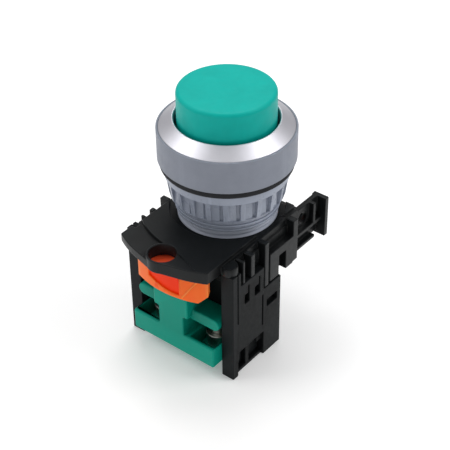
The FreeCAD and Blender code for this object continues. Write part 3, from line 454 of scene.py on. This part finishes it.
MATERIALS = {
    "cap_plastic": moulded("cap_plastic", CAP_TEAL, (0.42, 0.54), variation=0.05, edge=1.2, depth=0.00001,
                           gloss=0.14, Subsurface_Weight=0.04, **glow(1.0, CAP_TEAL)),
    "terminal_plastic": moulded("terminal_plastic", TERMINAL_GREEN, (0.3, 0.45), variation=0.08, edge=1.35,
                                gloss=0.12, Subsurface_Weight=0.06, **glow(0.8, TERMINAL_GREEN)),
    "lever_plastic": lever_plastic("lever_plastic"),
    "grey_plastic": moulded("grey_plastic", BEZEL_GREY, (0.45, 0.6), variation=0.05, edge=1.25,
                            depth=0.00003, gloss=0.35),
    # The barrel's lighter grey is painted light
    "barrel_plastic": moulded("barrel_plastic", BARREL_PAINTED_LIGHT_GREY, (0.4, 0.55), variation=0.06, edge=1.2),
    "nut_plastic": moulded("nut_plastic", NUT_GREY, (0.24, 0.38), variation=0.07, edge=1.25, gloss=0.5),
    "black_plastic": moulded("black_plastic", MOULDED_BLACK, (0.30, 0.44),
                             variation=0.15, edge=2.0, gloss=0.18),
    "housing_plastic": moulded("housing_plastic", MOULDED_BLACK, (0.34, 0.48),
                               variation=0.15, edge=2.0, gloss=0.07),
    "base_plastic": moulded("base_plastic", MOULDED_BLACK, (0.45, 0.6),
                            variation=0.15, edge=1.8, gloss=0.10),
    "dark_plastic": moulded("dark_plastic", MOULDED_BLACK, (0.45, 0.6),
                            variation=0.12, edge=1.6, gloss=0.10),
    "plunger_plastic": moulded("plunger_plastic", PLUNGER_WHITE, (0.4, 0.55), variation=0.05),
    "seal_rubber": moulded("seal_rubber", RUBBER_BLACK, (0.6, 0.75), grain=7000.0, variation=0.12,
                           edge=1.5),
    "satin_aluminium": turned_aluminium("satin_aluminium"),
    "nickel": metal("nickel", NICKEL),
    "steel": metal("steel", STEEL, (0.3, 0.45)),
    "spring_steel": metal("spring_steel", SPRING_STEEL, (0.28, 0.4)),
    "contact_brass": metal("contact_brass", BRASS, (0.3, 0.42)),
    "silver": metal("silver", SILVER, (0.22, 0.34)),
}


# ---------------------------------------------------------------- pieces

def new_piece(name, mesh):
    """An object for a mesh, placed in the scene."""
    piece = bpy.data.objects.new(name, mesh)
    bpy.context.scene.collection.objects.link(piece)
    return piece


def smooth(mesh):
    """Shade every face of a mesh smoothly."""
    for polygon in mesh.polygons:
        polygon.use_smooth = True


def closed_mesh(name, spots, faces):
    """A new mesh with doubled points joined and its faces turned outwards."""
    mesh = bpy.data.meshes.new(name)
    mesh.from_pydata(spots, [], faces)
    work = bmesh.new()
    work.from_mesh(mesh)
    bmesh.ops.remove_doubles(work, verts=work.verts, dist=WELD_NEW)
    bmesh.ops.recalc_face_normals(work, faces=work.faces)
    work.to_mesh(mesh)
    work.free()
    return mesh


def settle(piece):
    """Shade a piece smoothly with its flats kept flat, and turn its modifiers into plain geometry."""
    flats = piece.modifiers.new("flats", "WEIGHTED_NORMAL")
    flats.mode = "FACE_AREA"
    flats.weight = 60
    shape = piece.evaluated_get(bpy.context.evaluated_depsgraph_get())
    piece.data = bpy.data.meshes.new_from_object(shape)
    piece.modifiers.clear()
    piece.data.name = piece.name


def finish_piece(piece, node):
    """Give a new piece its place in the model: it stands for one node and rides on that node's body."""
    piece.data.materials.clear()
    piece.data.materials.append(MATERIALS[SLOTS[node]])
    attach(piece, BODY_OF[node])
    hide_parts(node)
    return piece


def softened(node, width, split=False, cutters=()):
    """A copy of a node with flat faces rejoined and every sharp edge rounded, as a mould leaves it."""
    mesh = NODES[node].data.copy()
    work = bmesh.new()
    work.from_mesh(mesh)
    bmesh.ops.remove_doubles(work, verts=work.verts, dist=WELD_MESH)
    bmesh.ops.dissolve_limit(work, angle_limit=FLAT_ANGLE, verts=work.verts, edges=work.edges)
    if split:
        bmesh.ops.connect_verts_concave(work, faces=work.faces)
    work.to_mesh(mesh)
    work.free()
    smooth(mesh)
    piece = new_piece(node + "_soft", mesh)
    for cutter in cutters:
        carve = piece.modifiers.new("carve", "BOOLEAN")
        carve.operation = "DIFFERENCE"
        carve.solver = "EXACT"
        carve.object = cutter
    bevel = piece.modifiers.new("edges", "BEVEL")
    bevel.width = width
    bevel.segments = EDGE_SEGMENTS
    bevel.limit_method = "ANGLE"
    bevel.angle_limit = SHARP_ANGLE
    bevel.use_clamp_overlap = False
    bevel.miter_outer = "MITER_ARC"
    settle(piece)
    for cutter in cutters:
        bpy.data.objects.remove(cutter)
    return finish_piece(piece, node)


def rounded_outline(corners, steps=6):
    """Corners given as (radius, level, rounding), joined by straight runs and arcs."""
    points = []
    for index, (radius, level, rounding) in enumerate(corners):
        spot = Vector((radius, level))
        if not rounding:
            points.append(spot)
            continue
        back = (Vector(corners[index - 1][:2]) - spot).normalized()
        ahead = (Vector(corners[(index + 1) % len(corners)][:2]) - spot).normalized()
        half = back.angle(ahead) / 2
        centre = spot + (back + ahead).normalized() * rounding / math.sin(half)
        first = spot + back * rounding / math.tan(half) - centre
        last = spot + ahead * rounding / math.tan(half) - centre
        sweep = first.angle(last)
        for step in range(steps + 1):
            share = step / steps
            arm = first * math.sin((1 - share) * sweep) + last * math.sin(share * sweep)
            points.append(centre + arm / math.sin(sweep))
    return points


def turned(node, corners_mm, segments=240):
    """A round piece with soft corners, turned about the button's axis."""
    outline = rounded_outline(corners_mm)
    count = len(outline)
    spots = []
    for turn in range(segments):
        angle = 2 * math.pi * turn / segments
        along, across = math.cos(angle), math.sin(angle)
        spots += [(point.x * MM * along, point.x * MM * across, point.y * MM) for point in outline]
    faces = []
    for turn in range(segments):
        here, there = turn * count, (turn + 1) % segments * count
        for step in range(count):
            after = (step + 1) % count
            faces.append((here + step, here + after, there + after, there + step))
    mesh = closed_mesh(node + "_turned", spots, faces)
    smooth(mesh)
    piece = new_piece(node + "_turned", mesh)
    settle(piece)
    return finish_piece(piece, node)


def around(radius_mm, angle_deg, level_mm):
    """A point at an angle from the front (-Y) towards +X."""
    angle = math.radians(angle_deg)
    return (radius_mm * MM * math.sin(angle), -radius_mm * MM * math.cos(angle), level_mm * MM)


def ribbon(name, rows, closed=False):
    """A solid bar through rows of four corner points each; closed when its last row meets its first."""
    spots = [spot for row in rows for spot in row]
    faces = [] if closed else [(0, 1, 2, 3), tuple(len(spots) - 4 + corner for corner in (3, 2, 1, 0))]
    for row in range(len(rows) - 1):
        for corner in range(4):
            after = (corner + 1) % 4
            faces.append((4 * row + after, 4 * row + corner, 4 * row + corner + 4, 4 * row + after + 4))
    return new_piece(name, closed_mesh(name, spots, faces))


def absorb(piece, detail):
    """Add a detail's mesh to a piece and drop the detail."""
    work = bmesh.new()
    work.from_mesh(piece.data)
    work.from_mesh(detail.data)
    work.to_mesh(piece.data)
    work.free()
    bpy.data.objects.remove(detail)


def steps_between(low, high, count):
    """Evenly spaced values from low to high."""
    return [low + (high - low) * step / count for step in range(count + 1)]


def lever_panel():
    """The cutter for the shallow panel sunk in the lever's curved front, deeper to the right."""
    floor = LEVER_RADIUS_MM - PANEL_DEPTH_MM
    outside = LEVER_RADIUS_MM + 1.0
    first, last = PANEL_SPAN_DEG
    high = PANEL_TOP_MM
    rows = []
    for angle in steps_between(first, last, 16):
        share = (angle - first) / (last - first)
        low = PANEL_FOOT_MM - PANEL_FOOT_DROP_MM * math.sin(share * math.pi / 2)
        rows.append([around(radius, angle, level)
                     for radius, level in ((floor, low), (outside, low), (outside, high), (floor, high))])
    return ribbon("lever_panel_cutter", rows)


def lever_ridge():
    """A thin raised line that climbs across the right half of the lever's front."""
    turn, rise = (RIDGE_END[axis] - RIDGE_START[axis] for axis in (0, 1))
    run = math.radians(turn) * LEVER_RADIUS_MM
    length = math.hypot(run, rise)
    rows = []
    for share in steps_between(0.0, 1.0, 10):
        angle = RIDGE_START[0] + turn * share
        level = RIDGE_START[1] + rise * share
        row = []
        for side, lift in RIDGE_PROFILE_MM:
            sideways = math.degrees(side * rise / length / LEVER_RADIUS_MM)
            row.append(around(LEVER_RADIUS_MM + lift, angle + sideways, level - side * run / length))
        rows.append(row)
    return ribbon("lever_ridge", rows)


def well_ring(centre, half, bore, low, high, steps=48):
    """A square plate with a round hole, which narrows a terminal screw's well to the screw's head."""
    rows = []
    for step in range(steps + 1):
        angle = 2 * math.pi * step / steps
        along, across = math.cos(angle), math.sin(angle)
        reach = half / max(abs(along), abs(across))
        rows.append([(centre[0] + length * along, centre[1] + length * across, level)
                     for length, level in ((bore, low), (reach, low), (reach, high), (bore, high))])
    return ribbon("well_ring", rows, closed=True)


def screw_well_ring(side):
    """The ring for one screw, placed by the screw's own box."""
    low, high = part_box("terminal_screw_" + side)
    centre = ((low[0] + high[0]) / 2, (low[1] + high[1]) / 2)
    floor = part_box("terminal_body")[0][2]
    bore = (high[0] - low[0]) / 2 + SCREW_GAP
    return well_ring(centre, bore + RING_OVERLAP, bore, floor, low[2] + RING_RISE)


def foot_web(side):
    """A thin web that closes the gap between a corner post and the base tray, under the green sill."""
    low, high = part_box("block_base")
    sign, edge = (-1, -low[0]) if side == "left" else (1, high[0])
    inner, outer = sign * (edge - WEB_THICK), sign * edge
    foot, head = low[2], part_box("terminal_body")[0][2]
    rows = []
    for depth in (low[1] - WEB_REACH, low[1] + WEB_OVERLAP):
        rows.append([(inner, depth, foot), (outer, depth, foot), (outer, depth, head), (inner, depth, head)])
    return ribbon("foot_web", rows)


def coiled(spring):
    """A smoothly shaded copy of a spring, in the spring node's place on its body."""
    mesh = NODES[spring].data.copy()
    smooth(mesh)
    piece = finish_piece(new_piece(spring + "_coil", mesh), spring)
    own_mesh(piece)


# ---------------------------------------------------------------- the scene

# Small details that a node's piece carries at both sides
SIDE_DETAILS = {"terminal_body": screw_well_ring, "block_base": foot_web}

add_camera()
add_studio()
for node, thing in NODES.items():
    for slot in thing.material_slots:
        slot.material = MATERIALS[SLOTS[node]]
for node, width_mm in SOFT_EDGES_MM.items():
    piece = softened(node, width_mm * MM, split=node == "adaptor_frame")
    if node in SIDE_DETAILS:
        for side in ("left", "right"):
            absorb(piece, SIDE_DETAILS[node](side))
lever = softened("lock_lever", LEVER_SOFT_EDGE_MM * MM, cutters=[lever_panel()])
absorb(lever, lever_ridge())
for node, corners in TURNED_MM.items():
    turned(node, corners)
coiled("return_spring")
coiled("plunger_spring")
coiled("contact_spring")

bpy.context.scene.view_settings.view_transform = "Standard"
